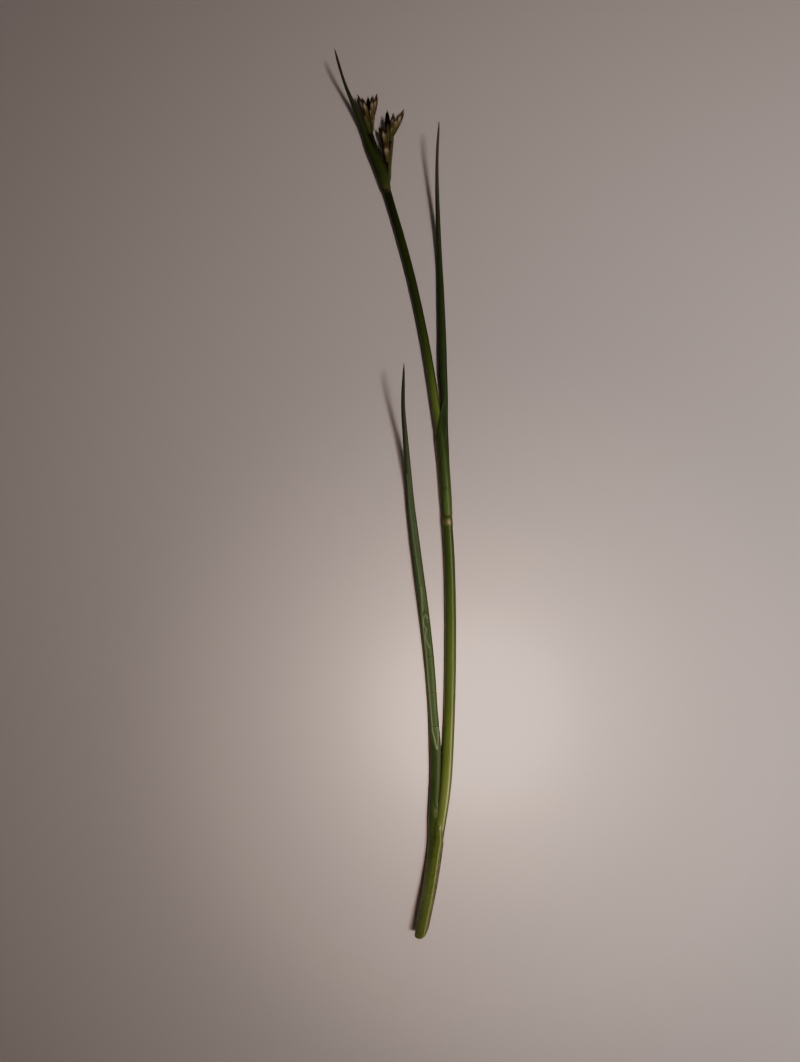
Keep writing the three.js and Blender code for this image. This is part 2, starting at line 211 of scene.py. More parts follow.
# From where to where it narrows, turns and leans
BRANCH_SCALE_NARROWING = (4.0, BRANCH_SCALE_END)
BRANCH_SCALE_TURNING = (2.0, 7.0)
BRANCH_SCALE_LEANING = (3.0, BRANCH_SCALE_END)

# How many sides each mesh has
SIDES = {"culm": 64, "lower_leaf": 80, "upper_leaf": 72, "bract": 64, "branch": 32, "branch_scale": 48}
# The rings of the meshes, as where a stretch starts and how far apart its rings are: by distance for the
# culm and the bract, and by how far up the surface for the leaves, whose last value is where the mesh
# ends
CULM_RINGS = ((0, 0.25), (40, 0.4), (82, 0.4), (83.2, 0.08), (86.8, 0.4))
LOWER_LEAF_RINGS = ((-66.0, 0.12), (-58.5, 0.25), (-51.0, 0.1), (-17.0, 0.25), (18.0, 0.2), (25.7,))
UPPER_LEAF_RINGS = ((12.0, 0.12), (22.0, 0.3), (72.8,))
LEAF_FOOT_SPACING = 0.3
BRACT_RINGS = ((0, 0.15), (15, 0.25))
BRANCH_SPACING = 0.15
BRANCH_SCALE_SPACING = 0.12

# Cross walls of the blades, by how far up the surface they are, with how clearly each shows
LOWER_SEPTA = {
    -52.5: 0.1, -45.3: 1.0, -38.6: 0.9, -31.2: 0.4, -22.4: 0.2, -17.4: 0.35, -11.5: 0.25, -5.5: 0.2,
    0.5: 0.2, 6.0: 0.15, 11.0: 0.1,
}
UPPER_SEPTA = {24.0: 0.2, 30.5: 0.2, 37.0: 0.2, 43.5: 0.15, 50.0: 0.1, 56.0: 0.1}
# The waist at a cross wall and the bulge beneath it: their lengths, how far beneath the wall the bulge
# is, its strength as a share of the waist's, and the reach of both
WAIST_LENGTH = 0.12
BULGE_LENGTH = 0.2
BULGE_BENEATH = 0.35
BULGE_SHARE = 0.5
RELIEF_REACH = 1.0

# Ridges and grooves of the lower blade: points on the surface, half width, height and paleness
BLADE_MARKS = (
    (((4.8, -17.4), (4.95, -20.0), (5.15, -22.6)), 0.16, 0.05, 0.5),
    (((5.0, -22.9), (5.35, -22.2), (5.9, -22.5)), 0.1, -0.07, -0.9),
    (((5.15, -24.6), (5.2, -23.6), (5.6, -23.0), (6.0, -23.7)), 0.12, 0.06, 0.9),
    (((5.45, -24.0), (5.75, -24.7), (5.5, -25.1), (5.95, -25.5)), 0.1, -0.07, -0.9),
    (((5.15, -24.6), (5.35, -25.4), (5.75, -25.6), (5.5, -27.4), (5.95, -28.8), (6.4, -29.6)),
     0.13, 0.07, 0.9),
    (((6.05, -24.8), (6.2, -26.6), (6.4, -28.6)), 0.13, -0.08, -0.8),
    (((6.0, -31.2), (6.4, -31.4), (6.95, -31.1)), 0.09, -0.06, -0.8),
    (((6.9, -45.8), (7.35, -47.6), (7.8, -49.6)), 0.14, 0.07, 1.0),
    (((8.1, -45.4), (8.1, -47.5), (7.95, -49.6)), 0.13, 0.05, 0.8),
    (((7.85, -47.4), (7.85, -48.9)), 0.1, -0.06, -0.7),
    (((7.95, -60.6), (7.9, -62.0), (7.85, -63.2)), 0.16, 0.04, 0.5),
)
# The pale ridge that runs up the left shoulder of the lower blade, as one more such stroke
# Its paleness is partly its own and partly painted highlight along the ridge.
SHOULDER_RIDGE = ((
    (6.95, -45.5), (6.6, -41.5), (6.35, -38.4), (6.15, -36.0), (5.75, -31.0), (5.3, -27.0),
    (4.95, -23.5), (4.65, -18.0), (4.0, -13.5), (3.2, -8.0), (2.5, -2.0), (1.9, 5.0),
), 0.17, 0.06, 0.7)
# The lines at a cross wall, from the side where they start to where they end as shares of the half width,
# and of each line its place along the blade, half width and paleness
SEPTUM_REACH = (0.35, -0.2, -0.75)
SEPTUM_LINES = ((0.0, 0.09, -0.9), (-0.22, 0.1, 0.35))

# Each flower head has cups of scales, open at the top, and closed pointed florets that stand in them. Each
# cup or floret is given by its foot, its tip, its half width, and how dark it is: from 0 for straw to 1 for
# black, and down to -1 for green.
FLOWER_HEADS = {
    "left_head": (
        (
            ((-5.45, 73.1, 0.7), (-6.3, 76.8, 1.1), 0.88, -1.0),
            ((-5.15, 73.3, 0.9), (-5.1, 77.0, 1.4), 0.65, -1.0),
        ),
        (
            ((-5.5, 75.3, 0.8), (-7.2, 80.2, 0.8), 0.6, 0.1),
            ((-5.4, 75.2, 1.0), (-5.95, 80.3, 1.6), 0.6, 1.0),
            ((-5.8, 75.4, 1.1), (-8.15, 80.9, 1.4), 0.6, 0.35),
            ((-5.55, 75.2, 1.5), (-7.1, 80.0, 1.9), 0.58, 0.05),
            ((-5.15, 75.2, 1.3), (-4.05, 80.9, 1.5), 0.6, 0.25),
            ((-5.3, 75.2, 1.4), (-5.0, 80.5, 1.8), 0.6, 0.2),
            ((-5.4, 75.3, 1.95), (-5.35, 78.1, 2.2), 0.17, 0.0),
            ((-5.0, 73.9, 1.65), (-4.85, 76.2, 2.0), 0.15, 0.0),
        ),
    ),
    "lower_head": (
        (((-2.0, 67.2, 1.2), (-2.4, 71.0, 1.5), 0.72, -0.1),),
        (
            ((-2.35, 67.3, 0.8), (-3.8, 71.8, 0.9), 0.17, 0.5),
            ((-2.1, 69.8, 1.0), (-2.6, 73.7, 1.0), 0.5, 0.5),
            ((-2.5, 70.0, 1.3), (-3.8, 74.6, 1.5), 0.46, 0.6),
            ((-2.05, 69.8, 1.5), (-2.1, 74.4, 1.9), 0.6, 0.2),
            ((-2.35, 69.8, 1.6), (-3.1, 74.1, 2.1), 0.62, 0.15),
        ),
    ),
    "upper_head": (
        (((-1.9, 70.8, 1.8), (-2.0, 73.6, 2.0), 0.45, 0.2),),
        (((-1.9, 71.6, 1.9), (-2.05, 77.2, 2.2), 0.66, 1.0),),
    ),
    "outer_head": (
        (((-1.45, 71.3, 1.4), (-0.8, 74.8, 1.7), 0.66, -0.6),),
        (
            ((-1.25, 72.3, 1.3), (0.0, 76.3, 1.2), 0.6, -0.4),
            ((-1.3, 72.3, 1.6), (-0.75, 76.9, 1.8), 0.58, 0.5),
            ((-1.1, 72.3, 1.5), (1.35, 77.7, 1.6), 0.68, 0.05),
            ((-1.2, 72.3, 1.7), (0.25, 76.3, 2.0), 0.6, -0.4),
        ),
    ),
}
HEADS_SEED = 7
# A scale of a cup or floret: how many faces wide and long it is, its thickness, how far it reaches round to
# either side in degrees, and as shares of full size its least width, its reach at the foot and its keel
TEPAL_FACES = (6, 18)
TEPAL_THICKNESS = 0.035
TEPAL_SPREAD = 62.0
TEPAL_LEAST_WIDTH = 0.03
TEPAL_FOOT = 0.35
TEPAL_KEEL = 0.08
# How far the tips lean in on a floret and from what height, then the size of an inner scale as a share of
# an outer one and how much darker it is
FLORET_CLOSING = 0.6
CLOSING_START = 0.55
INNER_SHARE = 0.9
INNER_DARKER = 0.2
# The closed body in a cup or floret: its faces round and along it, its length and half width as shares of
# the cup's or floret's, and how much darker it is
CORE_FACES = (16, 12)
CORE_LENGTH = 0.8
CORE_WIDTH = 0.62
CORE_DARKER = 0.4


def along(stops, reach=SOFT_REACH):
    """Returns a function of distance that passes (distance, value) stops with softened corners."""
    def sharp(distance):
        if distance <= stops[0][0]:
            return stops[0][1]
        for (start, first), (end, last) in zip(stops, stops[1:]):
            if distance <= end:
                return first + (last - first) * (distance - start) / (end - start)
        return stops[-1][1]

    @functools.cache
    def soft(distance):
        return sum(sharp(distance + reach * step / 2) for step in (-2, -1, 0, 1, 2)) / 5

    return soft


def level(value):
    """Returns a function of distance that is the same everywhere."""
    return lambda distance: value


def flattened(half_width, share):
    """Returns the half height as a function of distance."""
    return lambda distance: share * half_width(distance)


def smooth(start, end, value):
    """Goes smoothly from 0 at start to 1 at end."""
    share = min(max((value - start) / (end - start), 0.0), 1.0)
    return share * share * (3 - 2 * share)


def lerp(start, end, share):
    return start + (end - start) * share


def rounded_max(first, second, fillet):
    """The larger of two values, with a fillet where they meet."""
    return 0.5 * (first + second + math.sqrt((first - second) ** 2 + fillet ** 2))


def bend(before, start, end, after):
    """Points of the smooth bend from start to end that also heeds the points before and after."""
    legs = ((before, start), (start, end), (end, after))
    first, middle, last = (math.sqrt((b - a).length) for a, b in legs)
    leave = (start - before) / first - (end - before) / (first + middle) + (end - start) / middle
    arrive = (end - start) / middle - (after - start) / (middle + last) + (after - end) / last
    handles = (start + leave * middle / 3, end - arrive * middle / 3)
    return interpolate_bezier(start, *handles, end, BEND_STEPS + 1)[1:]


class Route:
    """A smooth line over the surface, with its height and an upright cross-section at each distance."""

    def __init__(self, plan, underside, half_height):
        points = [Vector((x, y, 0)) for x, y in plan]
        ends = [2 * points[0] - points[1], *points, 2 * points[-1] - points[-2]]
        self.line = [points[0]]
        for four in zip(ends, ends[1:], ends[2:], ends[3:]):
            self.line += bend(*four)
        self.travelled = [0.0]
        for start, end in zip(self.line, self.line[1:]):
            self.travelled.append(self.travelled[-1] + (end - start).length)
        self.length = self.travelled[-1]
        self.underside = underside
        self.half_height = half_height

    @functools.cache
    def height(self, distance):
        return self.underside(distance) + self.half_height(distance)

    @functools.cache
    def plan_at(self, distance):
        """The point of the plan and its direction there. The line runs on straight past its ends."""
        low, high = 0, len(self.line) - 1
        while high - low > 1:
            middle = (low + high) // 2
            low, high = (middle, high) if self.travelled[middle] <= distance else (low, middle)
        span = self.line[high] - self.line[low]
        share = (distance - self.travelled[low]) / span.length
        return self.line[low] + span * share, span.normalized()

    @functools.cache
    def distance_at(self, y):
        """How far along the route it passes a given y."""
        low, high = 0, len(self.line) - 1
        while high - low > 1:
            middle = (low + high) // 2
            low, high = (middle, high) if self.line[middle].y <= y else (low, middle)
        share = (y - self.line[low].y) / (self.line[high].y - self.line[low].y)
        return lerp(self.travelled[low], self.travelled[high], share)

    @functools.cache
    def frame_at(self, distance, reach=SOFT_REACH):
        """The axis point, and the directions to the left and up of the cross-section."""
        point = self.plan_at(distance)[0].copy()
        ahead, _ = self.plan_at(distance + HEADING_REACH)
        behind, _ = self.plan_at(distance - HEADING_REACH)
        point.z = self.height(distance)
        forward = (ahead - behind).normalized()
        forward.z = (self.height(distance + reach) - self.height(distance - reach)) / (2 * reach)
        forward.normalize()
        left = UP.cross(forward).normalized()
        return point, left, forward.cross(left)


stem_half_width = along(STEM_HALF_WIDTH)
lower_half_width = along(LOWER_BLADE_HALF_WIDTH, BLADE_REACH)
upper_half_width = along(UPPER_BLADE_HALF_WIDTH, BLADE_REACH)
bract_half_width = along(BRACT_HALF_WIDTH, BLADE_REACH)
bract_half_height = along(BRACT_HALF_HEIGHT, BLADE_REACH)
stem_half_height = flattened(stem_half_width, STEM_FLATTENING)
lower_half_height = flattened(lower_half_width, BLADE_FLATTENING)
upper_half_height = flattened(upper_half_width, BLADE_FLATTENING)

stem_route = Route(STEM_PLAN, along(STEM_UNDERSIDE), stem_half_height)
lower_route = Route(LOWER_BLADE_PLAN, along(LOWER_BLADE_UNDERSIDE), lower_half_height)
upper_route = Route(UPPER_BLADE_PLAN, along(UPPER_BLADE_UNDERSIDE), upper_half_height)
bract_route = Route(BRACT_PLAN, along(BRACT_UNDERSIDE), bract_half_height)


def cut_at(across):
    """Distance at which the slanting cut meets the stem, from 1 on its left edge to -1 on its right."""
    return CUT_START + CUT_SLANT * ((1 - across) / 2) ** 3


def past_cut(distance, across):
    """Moves the first stretch of a piece forward so that it ends at the cut."""
    if distance >= CUT_FADE:
        return distance
    return distance + cut_at(across) * (1 - distance / CUT_FADE)


def spaced(*stretches):
    """Stations along a piece, from (start, spacing) pairs and a last (end,)."""
    stations = []
    for (start, spacing), following in zip(stretches, stretches[1:]):
        count = max(1, round((following[0] - start) / spacing))
        stations += [lerp(start, following[0], step / count) for step in range(count)]
    return [*stations, stretches[-1][0]]


def tube(sides, stations, place):
    """A closed tube with a ring at each station, whose vertices are at place(turn, station).

    Its UV map holds the turn round the tube, and the station in units of 100 mm.
    """
    bm = bmesh.new()
    bmesh.ops.create_grid(bm, x_segments=sides, y_segments=len(stations) - 1, size=0.5)
    wrap = bm.loops.layers.uv.new("UVMap")

    def spot(vert):
        ring = round((vert.co.y + 0.5) * (len(stations) - 1))
        return round((vert.co.x + 0.5) * sides) / sides, stations[ring]

    for face in bm.faces:
        for loop in face.loops:
            turn, station = spot(loop.vert)
            loop[wrap].uv = (turn, station * 0.01)
    seam = []
    for vert in bm.verts:
        turn, station = spot(vert)
        if turn in (0.0, 1.0):
            seam.append(vert)
        vert.co = place(turn % 1.0, station)
    bmesh.ops.remove_doubles(bm, verts=seam, dist=1e-5)
    bmesh.ops.holes_fill(bm, edges=[edge for edge in bm.edges if edge.is_boundary], sides=0)
    bmesh.ops.recalc_face_normals(bm, faces=bm.faces)
    return bm


def nearest(path, x, y):
    """Distance from a path of points on the surface."""
    best = math.inf
    for (x0, y0), (x1, y1) in zip(path, path[1:]):
        run = (x1 - x0) ** 2 + (y1 - y0) ** 2
        share = min(max(((x - x0) * (x1 - x0) + (y - y0) * (y1 - y0)) / run, 0.0), 1.0)
        best = min(best, math.hypot(x - lerp(x0, x1, share), y - lerp(y0, y1, share)))
    return best


def sculpted(bm, strokes):
    """Raises ridges and sinks grooves in the upper side of a piece, and notes their paleness in a layer."""
    tone = bm.verts.layers.float.new("mark")
    bm.normal_update()
    moves = []
    for path, half_width, height, pale in strokes:
        low = min(y for _, y in path) - 2 * half_width
        high = max(y for _, y in path) + 2 * half_width
        for vert in bm.verts:
            if low < vert.co.y < high and vert.normal.z > 0:
                apart = nearest(path, vert.co.x, vert.co.y) / half_width
                if apart < 2:
                    strength = math.exp(-1.5 * apart * apart)
                    moves.append((vert, vert.normal * height * strength))
                    vert[tone] += pale * strength
    for vert, move in moves:
        vert.co += move


def finished(bm, name, material, node=None):
    """Turns millimetres into metres and the bmesh into a smooth object that stands for its CAD node."""
    bm.transform(Matrix.Scale(MM, 4))
    mesh = bpy.data.meshes.new(name)
    bm.to_mesh(mesh)
    bm.free()
    mesh.polygons.foreach_set("use_smooth", [True] * len(mesh.polygons))
    mesh.materials.append(material)
    piece = bpy.data.objects.new(name, mesh)
    bpy.context.scene.collection.objects.link(piece)
    if node:
        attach(piece, BODY)
        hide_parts(node)
    return piece


# Shader values

class Term:
    """A socket of a shader graph that can be used in sums like a number."""

    def __init__(self, graph, socket):
        self.graph = graph
        self.socket = socket

    def __add__(self, other):
        return self.graph.math("ADD", self, other)

    def __radd__(self, other):
        return self.graph.math("ADD", other, self)

    def __sub__(self, other):
        return self.graph.math("SUBTRACT", self, other)

    def __rsub__(self, other):
        return self.graph.math("SUBTRACT", other, self)

    def __mul__(self, other):
        return self.graph.math("MULTIPLY", self, other)

    def __truediv__(self, other):
        return self.graph.math("DIVIDE", self, other)

    def __neg__(self):
        return self * -1.0


class Graph:
    """A material under construction.

    Its y is how far up the surface a point is, in millimetres. Its u is the turn round the piece, and its v
    the station along it.
    """

    def __init__(self, name, **constants):
        self.material = bpy.data.materials.new(name)
        self.material.use_nodes = True
        self.tree = self.material.node_tree
        self.surface = self.tree.nodes["Principled BSDF"]
        for socket, value in constants.items():
            self.surface.inputs[socket.replace("_", " ")].default_value = value
        place = self.node("ShaderNodeTexCoord", output="Object")
        self.y = self.node("ShaderNodeSeparateXYZ", {}, {0: place}, output="Y") / MM
        wrap = self.node("ShaderNodeSeparateXYZ", {}, {0: self.node("ShaderNodeTexCoord", output="UV")})
        self.u, self.v = (Term(self, wrap.socket.node.outputs[axis]) for axis in "XY")

    def node(self, kind, settings=None, values=None, output=0):
        """Adds a node with its settings, then its values or links. Returns one of its outputs."""
        node = self.tree.nodes.new(kind)
        for setting, value in (settings or {}).items():
            setattr(node, setting, value)
        for socket, value in (values or {}).items():
            if isinstance(value, Term):
                self.tree.links.new(value.socket, node.inputs[socket])
            else:
                node.inputs[socket].default_value = value
        return Term(self, node.outputs[output])

    def math(self, operation, *values):
        return self.node("ShaderNodeMath", {"operation": operation}, dict(enumerate(values)))

    def attribute(self, name):
        return self.node("ShaderNodeAttribute", {"attribute_name": name}, output="Fac")

    def between(self, value, start, end):
        """Goes smoothly from 0 to 1 while the value goes from start to end."""
        values = {"Value": value, "From Min": start, "From Max": end}
        return self.node("ShaderNodeMapRange", {"interpolation_type": "SMOOTHSTEP"}, values)

    def near(self, value, centre, reach):
        """1 at the centre, falling to 0 at the reach on either side."""
        return 1.0 - self.between(self.math("ABSOLUTE", value - centre), 0.0, reach)

    def mix(self, share, first, second):
        settings = {"data_type": "RGBA", "clamp_factor": True}
        values = {0: share, 6: rgba(first), 7: rgba(second)}
        return self.node("ShaderNodeMix", settings, values, output=2)

    def dimmed(self, colour, factor):
        """A colour times a value."""
        return self.node("ShaderNodeVectorMath", {"operation": "SCALE"}, {0: colour, "Scale": factor})

    def stops(self, value, stops):
        """The colour at a value, from (value, colour) stops in rising order."""
        colour = stops[0][1]
        for (start, _), (end, following) in zip(stops, stops[1:]):
            share = self.node("ShaderNodeMapRange", {}, {"Value": value, "From Min": start, "From Max": end})
            colour = self.mix(share, colour, following)
        return colour

    def noise(self, vector, scale=1.0, detail=3.0, roughness=0.5):
        values = {"Vector": vector, "Scale": scale, "Detail": detail, "Roughness": roughness}
        return self.node("ShaderNodeTexNoise", {}, values)

    def grain(self, sides, lengths, detail=4.0, roughness=0.5):
        """Noise that goes round the piece without a seam. More sides or lengths make it finer that way."""
        round_it = [self.math(wave, self.u * TAU) * sides for wave in ("COSINE", "SINE")]
        place = self.node("ShaderNodeCombineXYZ", {}, dict(enumerate((*round_it, self.v * lengths))))
        return self.noise(place, detail=detail, roughness=roughness)

    def ribs(self, count):
        """Waves round the piece, that run along it."""
        return self.math("SINE", self.u * (TAU * count))

    def done(self, colour, roughness=None, height=None, depth=None):
        """Links the colour, the roughness and the relief, which is a height with the depth of 1 of it."""
        links = {"Base Color": colour, "Roughness": roughness}
        if height:
            links["Normal"] = self.node("ShaderNodeBump", {}, {"Distance": depth, "Height": height})
        for socket, value in links.items():
            if value:
                self.tree.links.new(value.socket, self.surface.inputs[socket])
        return self.material


def rgba(colour):
    return (*colour, 1.0) if isinstance(colour, tuple) else colour


# A pale tan for the right edge of the lower sheath, and of the culm beside it
TAN = (0.13, 0.11, 0.04)


def culm_material(settings):
    """Smooth green culm: dark under the flowers, yellow-green at its foot, with fine ribs lengthwise."""
    # Round the culm, a turn of 0 is its left edge, 0.25 its top and 0.5 its right edge.
    g = Graph("culm", Specular_IOR_Level=0.25)
    colour = g.stops(g.y, (
        (-85.0, (0.11, 0.125, 0.022)), (-72.0, (0.08, 0.1, 0.015)), (-60.0, (0.1, 0.125, 0.03)),
        (-52.0, (0.07, 0.092, 0.017)), (-40.0, (0.046, 0.07, 0.011)), (-5.4, (0.045, 0.07, 0.012)),
        (-4.9, (0.14, 0.12, 0.045)), (-4.1, (0.12, 0.1, 0.03)), (-3.5, (0.05, 0.07, 0.012)),
        (20.0, (0.13, 0.17, 0.028)), (27.0, (0.064, 0.09, 0.013)), (38.0, (0.031, 0.046, 0.006)),
        (50.0, (0.026, 0.038, 0.003)), (61.0, (0.013, 0.018, 0.0012)), (62.4, (0.12, 0.09, 0.03)),
    ))
    streaks = g.grain(7.0, 2.2)
    blotches = g.grain(1.2, 22.0, 3.0)
    # Painted shade: the left flank and the right edge beyond the bright line are darkened as shade would
    # darken them.
    painted_left_shade = (1.0 - g.between(g.u, 0.12, 0.3)) * (0.2 - g.between(g.y, 0.0, 25.0) * 0.1)
    painted_flank_shade = 1.1 - painted_left_shade - g.between(g.u, 0.34, 0.41) * 0.6 - g.between(g.u, 0.42, 0.46) * 0.25
    colour = g.dimmed(colour, (0.55 + streaks * 0.55 + blotches * 0.35) * painted_flank_shade)
    # Painted shade: a thin dark line along the right edge above the lower sheath.
    painted_dark_edge = g.near(g.u, 0.475, 0.03) * g.between(g.y, -58.0, -40.0) * 0.5
    colour = g.mix(painted_dark_edge, colour, (0.09, 0.05, 0.015))
    tan_edge = g.near(g.u, 0.5, 0.08) * g.between(g.y, -60.0, -64.0) * 0.9
    colour = g.mix(tan_edge, colour, TAN)
    # Painted highlight: a pale glint on the right side of the node ring.
    painted_ring_highlight = g.near(g.u, 0.29, 0.08) * g.near(g.y, -4.5, 0.8) * 0.8
    colour = g.mix(painted_ring_highlight, colour, (0.34, 0.33, 0.2))
    colour = g.mix(g.attribute("mark"), colour, tuple(settings.pith_color))
    height = g.ribs(settings.ribs) * 0.5 + blotches
    return g.done(colour, settings.roughness + blotches * 0.08, height, settings.rib_depth)


def lower_leaf_material(settings):
    """Grey-green hollow leaf with a bloom, pale ridges, dark cross walls and a dead brown tip."""
    # Round the sheath, a turn of 0.29 is its left edge and 0.5 its upper margin. Round the blade, 0.25 is
    # its left edge, 0.5 its top and 0.75 its right edge.
    g = Graph("lower_leaf", Specular_IOR_Level=0.25)
    on_blade = g.between(g.y, -65.0, -59.0)
    sheath = g.stops(g.y, (
        (-88.0, (0.11, 0.125, 0.022)), (-78.0, (0.105, 0.13, 0.022)), (-68.0, (0.075, 0.095, 0.014)),
        (-62.0, (0.09, 0.115, 0.025)),
    ))
    back = g.stops(g.y, (
        (-88.0, (0.1, 0.115, 0.03)), (-78.0, (0.11, 0.13, 0.042)), (-70.0, (0.046, 0.064, 0.015)),
        (-62.0, (0.026, 0.04, 0.007)),
    ))
    sheath = g.mix(g.between(g.u, 0.34, 0.41), back, sheath)
    blade = g.stops(g.y, (
        (-60.0, (0.028, 0.045, 0.006)), (-46.0, (0.034, 0.053, 0.018)), (-28.0, (0.038, 0.061, 0.019)),
        (-3.0, (0.055, 0.085, 0.032)), (8.0, (0.05, 0.064, 0.026)), (18.0, (0.033, 0.025, 0.015)),
        (25.0, (0.02, 0.014, 0.01)),
    ))
    colour = g.mix(on_blade, sheath, blade)
    # Painted shade: the blade's left flank, wider low down, and its right flank higher up are darkened.
    painted_left_shade = g.between(g.u - g.between(g.y, -47.0, -51.0) * 0.22, 0.4, 0.32) * g.between(g.u, 0.1, 0.2)
    painted_right_shade = g.between(g.u + g.between(g.y, 2.0, 10.0) * 0.08, 0.6, 0.7)
    painted_right_shade = painted_right_shade * g.between(g.y, -46.0, -43.0) * 0.9
    colour = g.mix((painted_left_shade + painted_right_shade) * on_blade * 0.8, colour, (0.02, 0.032, 0.008))
    streaks = g.grain(6.0, 3.0)
    mottle = g.grain(1.5, 60.0, roughness=0.6)
    colour = g.dimmed(colour, 0.65 + streaks * 0.4 + mottle * 0.3 + (mottle - 0.5) * on_blade * 0.3)
    mark = g.attribute("mark")
    colour = g.mix(mark, colour, (0.14, 0.18, 0.09))
    colour = g.mix(-mark, colour, (0.014, 0.018, 0.008))
    margin = g.between(g.u, 0.455, 0.48) * g.between(g.y, -63.0, -67.0)
    colour = g.mix(margin * 0.8, colour, TAN)
    roughness = settings.roughness + mottle * 0.1 + 0.08 + (on_blade - 1.0) * 0.25
    return g.done(colour, roughness, g.ribs(settings.ribs) * 0.4 + mottle, settings.rib_depth)


def upper_leaf_material(settings):
    """Dark green slender leaf; its sheath has a thin brown margin that light shines through."""
    # Round the sheath, a turn of 0.066 is its top and 0.448 its left edge. Round the blade, 0 is its top
    # and 0.25 its right edge.
    g = Graph("upper_leaf", Specular_IOR_Level=0.22)
    colour = g.stops(g.y, (
        (-3.6, (0.1, 0.1, 0.03)), (-2.4, (0.095, 0.14, 0.03)), (10.0, (0.047, 0.072, 0.013)),
        (20.0, (0.03, 0.05, 0.013)), (36.0, (0.028, 0.045, 0.008)), (46.0, (0.026, 0.04, 0.008)),
        (57.0, (0.03, 0.033, 0.012)), (66.0, (0.085, 0.07, 0.04)), (72.0, (0.1, 0.066, 0.045)),
    ))
    streaks = g.grain(6.0, 3.0)
    mottle = g.grain(1.3, 40.0, 3.0)
    colour = g.dimmed(colour, 0.5 + streaks * 0.5 + mottle * 0.5)
    sheath = 1.0 - g.between(g.y, 14.0, 19.0)
    # Painted shade: the blade's right edge is darkened.
    painted_right_shade = g.near(g.u, 0.25, 0.18) * 0.85
    colour = g.dimmed(colour, 1.0 - painted_right_shade * 0.8)
    margin = g.between(g.u, 0.425, 0.455) * sheath
    colour = g.mix(margin, colour, tuple(settings.margin_color))
    mark = g.attribute("mark")
    colour = g.mix(-mark, colour, (0.012, 0.014, 0.006))
    roughness = settings.roughness + mottle * 0.1 + 0.06 - sheath * 0.22
    return g.done(colour, roughness, g.ribs(settings.ribs) * 0.5 + mottle, settings.rib_depth)


def bract_material(settings):
    """Dark green leafy bract with a brown tip; its dark left edge is partly brown-black and partly painted
    shade.
    """
    g = Graph("bract", Specular_IOR_Level=0.25)
    colour = g.stops(g.y, (
        (62.0, (0.08, 0.085, 0.02)), (65.0, (0.04, 0.05, 0.006)), (70.0, (0.032, 0.044, 0.006)),
        (77.0, (0.038, 0.046, 0.013)), (82.0, (0.034, 0.032, 0.012)), (87.6, (0.045, 0.03, 0.015)),
    ))
    streaks = g.grain(6.0, 4.0)
    mottle = g.grain(1.3, 50.0, 3.0)
    colour = g.dimmed(colour, 0.5 + streaks * 0.5 + mottle * 0.5)
    # The left edge: partly its own brown-black colour, partly painted shade.
    edge = g.near(g.u, 0.27, 0.06)
    colour = g.mix(edge * 0.6, colour, (0.02, 0.012, 0.006))
    height = g.ribs(settings.ribs) * 0.5 + streaks
    return g.done(colour, settings.roughness + mottle * 0.15, height, settings.rib_depth)


def branch_material(settings):
    """Dark green flower branches that turn brown towards the heads, and nearly black there with painted
    shadow.
    """
    g = Graph("flower_branch", Specular_IOR_Level=0.2)
    # The darkest stop, next to the heads, is painted shadow of the heads.
    colour = g.stops(g.y, (
        (63.0, (0.07, 0.075, 0.02)), (67.0, (0.03, 0.034, 0.006)), (73.0, (0.016, 0.016, 0.005)),
    ))
    streaks = g.grain(4.0, 8.0)
    colour = g.dimmed(colour, 0.6 + streaks * 0.8)
    return g.done(colour, settings.roughness + streaks * 0.1, streaks, settings.rib_depth)


def scale_material(settings):
    """Thin olive scale round the branch, browner towards its tip."""
    g = Graph("branch_scale", Specular_IOR_Level=0.2)
    colour = g.stops(g.y, (
        (63.0, (0.1, 0.1, 0.035)), (66.0, (0.085, 0.085, 0.03)), (70.0, (0.1, 0.078, 0.032)),
        (73.0, (0.11, 0.085, 0.04)),
    ))
    streaks = g.grain(5.0, 5.0)
    colour = g.dimmed(colour, 0.5 + streaks)
    return g.done(colour, settings.roughness + streaks * 0.1, streaks, settings.rib_depth)


def floret_material(settings):
    """Papery florets: green feet, straw middles with brown flanks, and dark purple-brown tips."""
    # Across a scale, 0.5 is its middle line. Along it, 0 is its foot and 1 its tip.
    g = Graph("florets", Specular_IOR_Level=0.08)
    across = g.math("ABSOLUTE", g.u - 0.5) * 2.0
    dark = g.attribute("mark")
    colour = g.stops(g.v, (
        (0.0, (0.09, 0.075, 0.02)), (0.3, (0.13, 0.09, 0.03)), (0.48, (0.3, 0.21, 0.1)),
        (0.62, (0.6, 0.46, 0.28)), (0.72, (0.22, 0.13, 0.065)), (0.8, (0.09, 0.035, 0.018)),
        (1.0, (0.02, 0.008, 0.006)),
    ))
    flanks = g.between(across, 0.4, 0.8) * g.between(g.v, 0.1, 0.45)
    colour = g.mix(flanks * 0.8, colour, (0.09, 0.045, 0.015))
    colour = g.mix(dark * g.between(g.v, 0.1, 0.6), colour, tuple(settings.dark_color))
    leafy = g.stops(g.v, (
        (0.0, (0.06, 0.072, 0.012)), (0.5, (0.11, 0.1, 0.03)), (0.8, (0.15, 0.11, 0.035)),
        (1.0, (0.12, 0.08, 0.03)),
    ))
    leafy = g.mix(g.between(across, 0.6, 1.0) * g.between(g.v, 0.1, 0.5) * 0.8, leafy, (0.35, 0.28, 0.13))
    colour = g.mix(-dark, colour, leafy)
    place = g.node("ShaderNodeCombineXYZ", {}, {0: g.u * 14.0, 1: g.v * 3.0, 2: dark * 9.0})
    fibres = g.noise(place)
    colour = g.dimmed(colour, 0.5 + fibres)
    return g.done(colour, settings.roughness + fibres * 0.1, fibres, settings.rib_depth)


